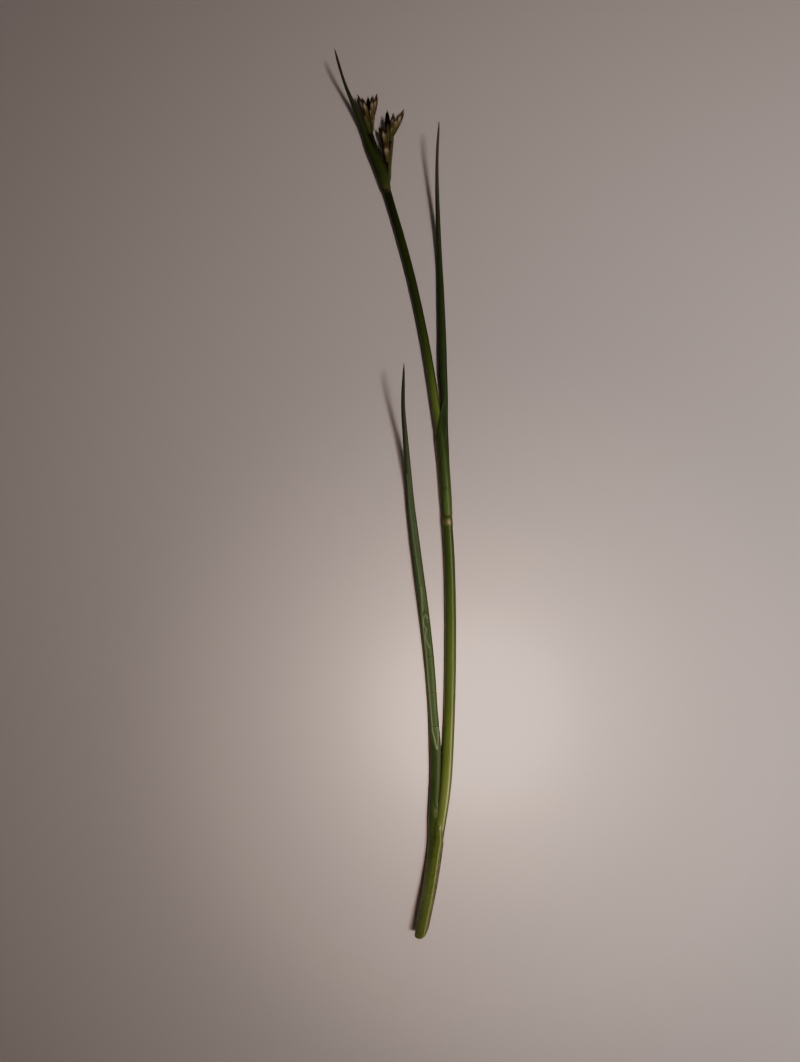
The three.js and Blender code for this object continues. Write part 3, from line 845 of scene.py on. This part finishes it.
def surface_material(settings):
    """Plain pale surface with the faintest unevenness."""
    g = Graph("pale_surface", Specular_IOR_Level=0.15, Roughness=0.7)
    clouds = g.noise(g.node("ShaderNodeTexCoord", output="Object"), scale=8.0, detail=2.0)
    colour = g.dimmed(tuple(settings.surface_color), 0.98 + clouds * 0.04)
    return g.done(colour)


# Pieces

def out_and_back(turn):
    """Goes from 0 to 1 over the first half of a turn, and back over the second."""
    return 2 * turn if turn <= 0.5 else 2 - 2 * turn


def rounded_edge(angle):
    """A direction round the stem, across and up, on a section that is more pointed at its left and right."""
    rise = math.sin(angle)
    return math.cos(angle), math.copysign(abs(rise) ** STEM_EDGE, rise)


def build_culm(settings):
    """The culm, with its node ring and the pith that shows where it was cut."""
    def place(turn, station):
        across, rise = rounded_edge(turn * TAU)
        distance = past_cut(station, across)
        away = (distance - NODE_RING) / (NODE_RING_LENGTH / 2)
        swell = 0.0
        if abs(away) < 1:
            lower = math.cos(away * math.pi / 2) ** NODE_RING_BLUNTNESS
            shape = lower if away < 0 else 1 - smooth(NODE_RING_STEP, 1.0, away)
            swell = settings.ring_swell / MM * shape
        point, left, up = stem_route.frame_at(distance)
        reach = stem_half_width(distance) + swell
        lift = stem_half_height(distance) + swell
        return point + left * (across * reach) + up * (rise * lift)

    bm = tube(SIDES["culm"], spaced(*CULM_RINGS, (stem_route.length,)), place)
    pith = bm.verts.layers.float.new("mark")
    ends = [face for face in bm.faces if len(face.verts) > 4]
    cut = min(ends, key=lambda face: face.calc_center_median().y)
    bmesh.ops.inset_region(bm, faces=[cut], thickness=RIND, depth=0.0)
    bmesh.ops.inset_region(bm, faces=[cut], thickness=PITH_EDGE, depth=-PITH_DEPTH)
    for vert in cut.verts:
        vert[pith] = 1.0
    finished(bm, "culm", culm_material(settings), "stem")


def ellipse_reach(across, rise, centre, half_width, half_height):
    """How far a ray from the origin goes before it leaves an ellipse, or 0 where it misses."""
    x, y = centre
    square = (across / half_width) ** 2 + (rise / half_height) ** 2
    product = across * x / half_width ** 2 + rise * y / half_height ** 2
    inside = product ** 2 - square * ((x / half_width) ** 2 + (y / half_height) ** 2 - 1)
    return (product + math.sqrt(inside)) / square if inside > 0 else 0.0


def leaf_surface(route, half_width, join, relief, wall, keel, slit, foot, mouth, slant):
    """A leaf as one skin: a sheath open at its slit, whose back grows into the blade.

    The first half of each ring is the sheath's outside and the second half its inside. Towards the mouth
    the two margins draw back to the keel, and the ring becomes the blade's own.
    """
    full_low = keel - slit if keel > slit else keel - slit + 360.0
    full_high = 360.0 - full_low

    def sheath_point(turn, station):
        distance = stem_route.distance_at(station)
        sign = min(max(1 - 2 * (mouth - distance) / slant, -1.0), 1.0)
        reach = max(math.degrees(math.acos(sign)), LEAST_BACK) + BACK_EXTRA
        low = min(full_low - SLIT_HALF_GAP, reach)
        high = min(full_high - SLIT_HALF_GAP, reach)
        share = out_and_back(turn)
        across, rise = rounded_edge(math.radians(keel - low + share * (low + high)))
        distance = past_cut(distance, across)
        point, left, up = stem_route.frame_at(distance)
        thin = smooth(0.0, MARGIN_SHARE, share) * smooth(0.0, MARGIN_SHARE, 1 - share)
        fade = smooth(0.0, MOUTH_FADE, mouth - distance)
        fade *= lerp(LEAST_FOOT, 1.0, smooth(0.0, FOOT_FADE, distance - foot))
        layer = FIT_GAP * lerp(LEAST_GAP, 1.0, fade)
        if turn <= 0.5:
            layer += wall * lerp(MARGIN_THINNESS, 1.0, thin) * lerp(LEAST_WALL, 1.0, fade)
        x = across * (stem_half_width(distance) + layer)
        y = rise * (stem_half_height(distance) + layer)
        if turn <= 0.5:
            radius = math.hypot(x, y)
            along_blade = route.distance_at(point.y)
            axis, _, _ = route.frame_at(along_blade)
            offset = axis - point
            centre = (offset.dot(left), offset.dot(up))
            aside = math.hypot(*centre)
            centre = tuple(value * min(1.0, SWELLING_REACH / aside) for value in centre)
            size = half_width(along_blade)
            blade = ellipse_reach(x / radius, y / radius, centre, size, size * BLADE_FLATTENING)
            grown = rounded_max(radius, blade, SWELLING_FILLET)
            x, y = x / radius * grown, y / radius * grown
        return point + left * x + up * y

    def blade_point(turn, station):
        distance = route.distance_at(station)
        point, left, up = route.frame_at(distance, BLADE_REACH)
        angle = math.radians(keel - 90.0 + 360.0 * turn)
        size = half_width(distance) * relief(station)
        return point + left * (math.cos(angle) * size) + up * (math.sin(angle) * size * BLADE_FLATTENING)

    def place(turn, station):
        grown = smooth(*join, station)
        if grown == 0:
            return sheath_point(turn, station)
        if grown == 1:
            return blade_point(turn, station)
        return sheath_point(turn, station).lerp(blade_point(turn, station), grown)

    return place


def septa_relief(septa, depth):
    """A slight waist at each cross wall, with a bulge beneath it, as a factor of the half width."""
    def relief(station):
        factor = 1.0
        for septum, clear in septa.items():
            apart = station - septum
            if abs(apart) < RELIEF_REACH:
                waist = math.exp(-(apart / WAIST_LENGTH) ** 2)
                bulge = BULGE_SHARE * math.exp(-((apart + BULGE_BENEATH) / BULGE_LENGTH) ** 2)
                factor += depth * clear * (bulge - waist)
        return factor

    return relief


def septa_marks(route, half_width, septa):
    """Strokes across the upper side at each cross wall: a dark line with a pale line beneath it."""
    strokes = []
    for septum, clear in septa.items():
        distance = route.distance_at(septum)
        point, left, _ = route.frame_at(distance)
        reach = left * half_width(distance)
        for shift, half, pale in SEPTUM_LINES:
            middle = point + Vector((0, shift, 0))
            ends = [tuple((middle + reach * side).xy) for side in SEPTUM_REACH]
            strokes.append((ends, half, 0.0, pale * clear))
    return strokes


def build_lower_leaf(settings):
    """The lower leaf: its sheath round the foot of the culm, and the long hollow blade."""
    start = stem_route.plan_at(0.0)[0].y
    relief = septa_relief(LOWER_SEPTA, settings.septum_depth)
    place = leaf_surface(lower_route, lower_half_width, LOWER_JOIN, relief, **LOWER_SHEATH)
    bm = tube(SIDES["lower_leaf"], spaced((start, LEAF_FOOT_SPACING), *LOWER_LEAF_RINGS), place)
    sculpted(bm, [SHOULDER_RIDGE, *septa_marks(lower_route, lower_half_width, LOWER_SEPTA), *BLADE_MARKS])
    finished(bm, "lower_leaf_skin", lower_leaf_material(settings), "lower_leaf")


def build_upper_leaf(settings):
    """The upper leaf: its sheath above the node ring, and the slender blade."""
    start = stem_route.plan_at(NODE_RING + NODE_RING_LENGTH / 2 + FIT_GAP)[0].y
    relief = septa_relief(UPPER_SEPTA, settings.septum_depth)
    place = leaf_surface(upper_route, upper_half_width, UPPER_JOIN, relief, **UPPER_SHEATH)
    bm = tube(SIDES["upper_leaf"], spaced((start, LEAF_FOOT_SPACING), *UPPER_LEAF_RINGS), place)
    sculpted(bm, septa_marks(upper_route, upper_half_width, UPPER_SEPTA))
    finished(bm, "upper_leaf_skin", upper_leaf_material(settings), "upper_leaf")


def build_bract(settings):
    """The leafy bract: a hollow foot round the branches, open on their side, and a tapering blade."""
    def place(turn, station):
        point, left, up = bract_route.frame_at(station, BLADE_REACH)
        half_width, half_height = bract_half_width(station), bract_half_height(station)
        wall = 0.0 if turn <= 0.5 else min(BRACT_WALL, half_width * BRACT_WALL_MOST)
        points = []
        open_side, whole = lerp(*BRACT_FOOT, out_and_back(turn)), -90.0 + 360.0 * turn
        for degrees, thickness in ((open_side, wall), (whole, 0.0)):
            angle = math.radians(degrees)
            points.append(left * (math.cos(angle) * (half_width - thickness))
                          + up * (math.sin(angle) * (half_height - thickness)))
        return point + points[0].lerp(points[1], smooth(*BRACT_CLOSING, station))

    bm = tube(SIDES["bract"], spaced(*BRACT_RINGS, (bract_route.length,)), place)
    finished(bm, "bract_skin", bract_material(settings), "bract")


def build_branches(settings):
    """The two short flower branches."""
    for node, plan, half in (
        ("left_branch", LEFT_BRANCH_PLAN, LEFT_BRANCH_HALF_WIDTH),
        ("right_branch", RIGHT_BRANCH_PLAN, RIGHT_BRANCH_HALF_WIDTH),
    ):
        route = Route(plan, level(BRANCH_UNDERSIDE), level(half))

        def place(turn, station, route=route, half=half):
            point, left, up = route.frame_at(station)
            angle = turn * TAU
            return point + left * (math.cos(angle) * half) + up * (math.sin(angle) * half)

        stations = spaced((0, BRANCH_SPACING), (route.length + BRANCH_EXTRA,))
        bm = tube(SIDES["branch"], stations, place)
        finished(bm, f"{node}_skin", branch_material(settings), node)


def build_branch_scale(settings):
    """The thin scale that sheathes the right branch, open on the side of the bract."""
    inner = RIGHT_BRANCH_HALF_WIDTH + FIT_GAP
    route = Route(RIGHT_BRANCH_PLAN, level(BRANCH_UNDERSIDE - FIT_GAP), level(inner))

    def place(turn, station):
        share = out_and_back(turn)
        reach = lerp(*BRANCH_SCALE_REACH, smooth(*BRANCH_SCALE_NARROWING, station))
        middle = lerp(*BRANCH_SCALE_MIDDLE, smooth(*BRANCH_SCALE_TURNING, station))
        angle = math.radians(middle + reach * (2 * share - 1))
        point, left, up = route.frame_at(station)
        wall = settings.branch_scale_thickness / MM * lerp(BRANCH_SCALE_EDGE, 1.0, math.sin(math.pi * share))
        radius = inner + (wall if turn <= 0.5 else 0.0)
        lean = BRANCH_SCALE_LEAN * smooth(*BRANCH_SCALE_LEANING, station)
        return point + left * (math.cos(angle) * radius - lean) + up * (math.sin(angle) * radius)

    stations = spaced((BRANCH_SCALE_START, BRANCH_SCALE_SPACING), (BRANCH_SCALE_END,))
    bm = tube(SIDES["branch_scale"], stations, place)
    finished(bm, "branch_scale_skin", scale_material(settings), "branch_scale")


def add_scale(bm, at, length, rim, start, closing, tone, layers):
    """Adds one pointed scale of a cup or floret, whose tip leans in by the closing share."""
    mark, wrap = layers
    known_verts, known_faces = set(bm.verts), set(bm.faces)
    bmesh.ops.create_grid(bm, x_segments=TEPAL_FACES[0], y_segments=TEPAL_FACES[1], size=0.5)
    faces = [face for face in bm.faces if face not in known_faces]
    for face in faces:
        for loop in face.loops:
            loop[wrap].uv = (loop.vert.co.x + 0.5, loop.vert.co.y + 0.5)
    for vert in [vert for vert in bm.verts if vert not in known_verts]:
        across, up = 2 * vert.co.x, vert.co.y + 0.5
        narrow = max(TEPAL_LEAST_WIDTH, 1 - up ** 4)
        angle = start + math.radians(TEPAL_SPREAD) * across * narrow
        radius = rim * lerp(TEPAL_FOOT, 1.0, up ** 0.6) * (1 - closing * smooth(CLOSING_START, 1.0, up))
        radius *= 1.0 + TEPAL_KEEL * max(0.0, 1 - 3 * abs(across)) * (1 - up)
        vert.co = Vector((math.cos(angle) * radius, math.sin(angle) * radius, up * length))
        vert[mark] = tone
    bmesh.ops.solidify(bm, geom=faces, thickness=TEPAL_THICKNESS)
    bmesh.ops.transform(bm, matrix=at, verts=[vert for vert in bm.verts if vert not in known_verts])


def add_core(bm, at, length, half_width, tone, layers):
    """Adds the closed body inside a cup or floret."""
    mark, wrap = layers
    known_verts, known_faces = set(bm.verts), set(bm.faces)
    bmesh.ops.create_uvsphere(bm, u_segments=CORE_FACES[0], v_segments=CORE_FACES[1], radius=1.0)
    verts = [vert for vert in bm.verts if vert not in known_verts]
    for vert in verts:
        vert.co = Vector((vert.co.x * half_width, vert.co.y * half_width, (vert.co.z + 1) / 2 * length))
        vert[mark] = tone
    for face in bm.faces:
        if face not in known_faces:
            for loop in face.loops:
                loop[wrap].uv = (0.5, loop.vert.co.z / length)
    bmesh.ops.transform(bm, matrix=at, verts=verts)


def standing(base, tip):
    """Puts +Z along base to tip, with +X to the left of it and +Y up."""
    axis = (tip - base).normalized()
    left = UP.cross(axis).normalized()
    turned = Matrix((left, axis.cross(left), axis)).transposed().to_4x4()
    return Matrix.Translation(base) @ turned


def add_tuft(bm, foot, tip, rim, dark, closing, chance, layers):
    """Adds a cup or floret: a closed body, three outer scales round it and three smaller inner ones."""
    length = (tip - foot).length
    at = standing(foot, tip)
    green = dark < 0
    core_tone = dark if green else min(dark + CORE_DARKER, 1.0)
    add_core(bm, at, length * CORE_LENGTH, rim * CORE_WIDTH, core_tone, layers)
    for share, darker, turned in ((1.0, 0.0, 0.25), (INNER_SHARE, INNER_DARKER, 0.25 + 1 / 6)):
        for step in range(3):
            start = TAU * (turned + step / 3) + chance.uniform(-0.2, 0.2)
            tall = length * chance.uniform(0.98, 1.02) * share
            tone = dark if green else dark + chance.uniform(0.0, 0.1) + darker
            add_scale(bm, at, tall, rim * share, start, closing, tone, layers)


def build_heads(settings):
    """The tufts of florets, each in cups of green scales."""
    chance = random.Random(HEADS_SEED)
    material = floret_material(settings)
    for name, (cups, florets) in FLOWER_HEADS.items():
        bm = bmesh.new()
        layers = (bm.verts.layers.float.new("mark"), bm.loops.layers.uv.new("UVMap"))
        for closing, tufts in ((0.0, cups), (FLORET_CLOSING, florets)):
            for foot, tip, rim, dark in tufts:
                add_tuft(bm, Vector(foot), Vector(tip), rim, dark, closing, chance, layers)
        bmesh.ops.recalc_face_normals(bm, faces=bm.faces)
        finished(bm, f"{name}_florets", material, name)


def hung(name, light, aim, offset):
    """Hangs a lamp at an offset from the spot that it faces."""
    aim = Vector(aim)
    place = aim + Vector(offset)
    lamp = bpy.data.objects.new(name, light)
    turn = (place - aim).to_track_quat("Z", "Y").to_matrix().to_4x4()
    lamp.matrix_world = Matrix.Translation(place * MM) @ turn
    bpy.context.scene.collection.objects.link(lamp)
    return lamp


def build_lights(settings):
    """A wide key light, a warm pool of light round the foot, and two low strips that only gloss reflects."""
    key, pool, strip = settings.key_power, settings.pool_power, settings.strip_power
    for name, aim, offset, reach, radius, power, color in (
        ("key", (60.0, 0.0, 0.0), KEY_OFFSET, 240.0, 130.0, key, WHITE),
        ("key_right", (180.0, -60.0, 0.0), KEY_OFFSET, 180.0, 130.0, key * 2.3, WHITE),
        ("pool_rim", (25.0, -48.0, 0.0), POOL_OFFSET, 78.0, 12.0, pool * 0.5, POOL_COLOR),
        ("pool", (19.0, -43.0, 0.0), POOL_OFFSET, 44.0, 9.0, pool * 0.68, POOL_COLOR),
        ("pool_core", (16.0, -43.0, 0.0), POOL_OFFSET, 26.0, 6.0, pool, POOL_COLOR),
    ):
        light = bpy.data.lights.new(name, "SPOT")
        light.spot_size = 2 * math.atan(reach / Vector(offset).length)
        light.spot_blend = 1.0
        light.shadow_soft_size = radius * MM
        light.energy = power
        light.color = color
        hung(name, light, aim, offset).visible_glossy = False
    for name, aim, offset, length, power in (
        ("strip", (10.0, -70.0, 0.0), (480.0, 0.0, 510.0), 320.0, strip),
        ("strip_foot", (10.0, -335.0, 0.0), (560.0, 0.0, 420.0), 210.0, strip * 2.0),
    ):
        light = bpy.data.lights.new(name, "AREA")
        light.shape = "RECTANGLE"
        light.size = length * MM
        light.size_y = STRIP_WIDTH * MM
        light.energy = power
        light.color = STRIP_COLOR
        hung(name, light, aim, offset).visible_diffuse = False


def build_stage(settings):
    """The pale surface, the studio lights and the camera that looks straight down."""
    bm = bmesh.new()
    bmesh.ops.create_grid(bm, x_segments=2, y_segments=2, size=SURFACE_HALF_SIZE)
    floor = finished(bm, "surface", surface_material(settings))

    world = bpy.data.worlds.new("studio")
    world.use_nodes = True
    sky = world.node_tree.nodes["Background"].inputs
    sky["Color"].default_value = rgba(SKY_COLOR)
    sky["Strength"].default_value = settings.ambient
    bpy.context.scene.world = world
    build_lights(settings)

    lens = bpy.data.cameras.new("camera")
    lens.sensor_fit = "VERTICAL"
    lens.sensor_height = SENSOR_HEIGHT
    lens.lens = SENSOR_HEIGHT * (CAMERA_HEIGHT - PICTURE_LEVEL) / PICTURE_HEIGHT
    lens.clip_start = 0.01
    camera = bpy.data.objects.new("camera", lens)
    camera.location = Vector((*CAMERA_CENTRE, CAMERA_HEIGHT)) * MM
    bpy.context.scene.collection.objects.link(camera)
    bpy.context.scene.camera = camera


# Settings that a user would change

class RushStageSettings(bpy.types.PropertyGroup):
    surface_color: FloatVectorProperty(
        name="Surface colour", description="Colour of the surface under the stem", subtype="COLOR", size=3,
        default=(0.75, 0.6, 0.545), min=0.0, max=1.0)
    ambient: FloatProperty(
        name="Ambient light", description="Strength of the even light from all around", default=0.05,
        min=0.0)
    key_power: FloatProperty(
        name="Key light", description="Power of the main light", default=16.2, min=0.0, unit="POWER")
    strip_power: FloatProperty(
        name="Strip light", description="Power of the low strips on the right", default=1.6, min=0.0,
        unit="POWER")
    pool_power: FloatProperty(
        name="Pool light", description="Power of the warm light round the foot", default=8.2, min=0.0,
        unit="POWER")


class RushCulmSettings(bpy.types.PropertyGroup):
    ring_swell: FloatProperty(
        name="Ring swell", description="How far the node ring stands out", default=0.00011, min=0.0,
        unit="LENGTH")
    pith_color: FloatVectorProperty(
        name="Pith colour", description="Colour of the cut face", subtype="COLOR", size=3,
        default=(0.24, 0.22, 0.12), min=0.0, max=1.0)
    ribs: IntProperty(name="Ribs", description="Fine ribs round the culm", default=36, min=0)
    rib_depth: FloatProperty(
        name="Rib depth", description="Depth of the ribs", default=0.000003, min=0.0, unit="LENGTH")
    roughness: FloatProperty(
        name="Roughness", description="Roughness of the skin", default=0.25, min=0.0, max=1.0,
        subtype="FACTOR")


class RushLeafSettings(bpy.types.PropertyGroup):
    margin_color: FloatVectorProperty(
        name="Margin colour", description="Colour of the upper sheath's margins", subtype="COLOR", size=3,
        default=(0.16, 0.13, 0.06), min=0.0, max=1.0)
    septum_depth: FloatProperty(
        name="Cross wall depth", description="Waist at a cross wall, as a share of the width", default=0.05,
        min=0.0, max=0.5, subtype="FACTOR")
    ribs: IntProperty(name="Ribs", description="Fine ribs round the leaf", default=30, min=0)
    rib_depth: FloatProperty(
        name="Rib depth", description="Depth of the ribs", default=0.000006, min=0.0, unit="LENGTH")
    roughness: FloatProperty(
        name="Roughness", description="Roughness of the skin", default=0.4, min=0.0, max=1.0,
        subtype="FACTOR")


class RushFlowerSettings(bpy.types.PropertyGroup):
    dark_color: FloatVectorProperty(
        name="Dark colour", description="Colour of the darkest floret tips", subtype="COLOR", size=3,
        default=(0.008, 0.003, 0.002), min=0.0, max=1.0)
    branch_scale_thickness: FloatProperty(
        name="Branch scale thickness", description="Thickness of the scale round the right branch",
        default=0.00012, min=0.0, unit="LENGTH")
    rib_depth: FloatProperty(
        name="Fibre depth", description="Depth of the fibres", default=0.00004, min=0.0, unit="LENGTH")
    roughness: FloatProperty(
        name="Roughness", description="Roughness of the dry scales", default=0.5, min=0.0, max=1.0,
        subtype="FACTOR")


# Operators

class RushOperator(bpy.types.Operator):
    """Adds a part of the rush stem"""
    bl_options = {"REGISTER", "UNDO"}


class RUSH_OT_culm(RushOperator):
    """Add the culm with its node ring and cut end"""
    bl_idname = "rush.add_culm"
    bl_label = "Culm"

    def execute(self, context):
        build_culm(context.scene.rush_culm)
        return {"FINISHED"}


class RUSH_OT_leaves(RushOperator):
    """Add the lower and the upper leaf"""
    bl_idname = "rush.add_leaves"
    bl_label = "Leaves"

    def execute(self, context):
        build_lower_leaf(context.scene.rush_leaf)
        build_upper_leaf(context.scene.rush_leaf)
        return {"FINISHED"}


class RUSH_OT_bract(RushOperator):
    """Add the leafy bract under the flowers"""
    bl_idname = "rush.add_bract"
    bl_label = "Bract"

    def execute(self, context):
        build_bract(context.scene.rush_leaf)
        return {"FINISHED"}


class RUSH_OT_branches(RushOperator):
    """Add the flower branches and the scale round the right one"""
    bl_idname = "rush.add_branches"
    bl_label = "Branches"

    def execute(self, context):
        build_branches(context.scene.rush_flower)
        build_branch_scale(context.scene.rush_flower)
        return {"FINISHED"}


class RUSH_OT_heads(RushOperator):
    """Add the tufts of florets"""
    bl_idname = "rush.add_heads"
    bl_label = "Flower heads"

    def execute(self, context):
        build_heads(context.scene.rush_flower)
        return {"FINISHED"}


class RUSH_OT_stage(RushOperator):
    """Add the surface, the lights and the camera"""
    bl_idname = "rush.add_stage"
    bl_label = "Stage"

    def execute(self, context):
        build_stage(context.scene.rush_stage)
        return {"FINISHED"}


class RUSH_PT_panel(bpy.types.Panel):
    """Lists what can be added"""
    bl_idname = "RUSH_PT_panel"
    bl_label = "Rush stem"
    bl_space_type = "VIEW_3D"
    bl_region_type = "UI"
    bl_category = "Rush"

    def draw(self, context):
        for operator in OPERATORS:
            self.layout.operator(operator.bl_idname)


SETTINGS = {
    "rush_stage": RushStageSettings,
    "rush_culm": RushCulmSettings,
    "rush_leaf": RushLeafSettings,
    "rush_flower": RushFlowerSettings,
}
OPERATORS = (RUSH_OT_culm, RUSH_OT_leaves, RUSH_OT_bract, RUSH_OT_branches, RUSH_OT_heads, RUSH_OT_stage)


def register():
    for cls in (*SETTINGS.values(), *OPERATORS, RUSH_PT_panel):
        bpy.utils.register_class(cls)
    for name, group in SETTINGS.items():
        setattr(bpy.types.Scene, name, PointerProperty(type=group))


def unregister():
    for name in SETTINGS:
        delattr(bpy.types.Scene, name)
    for cls in (RUSH_PT_panel, *reversed(OPERATORS), *reversed(SETTINGS.values())):
        bpy.utils.unregister_class(cls)


def main():
    register()
    bpy.ops.rush.add_culm()
    bpy.ops.rush.add_leaves()
    bpy.ops.rush.add_bract()
    bpy.ops.rush.add_branches()
    bpy.ops.rush.add_heads()
    bpy.ops.rush.add_stage()


if __name__ == "__main__":
    main()
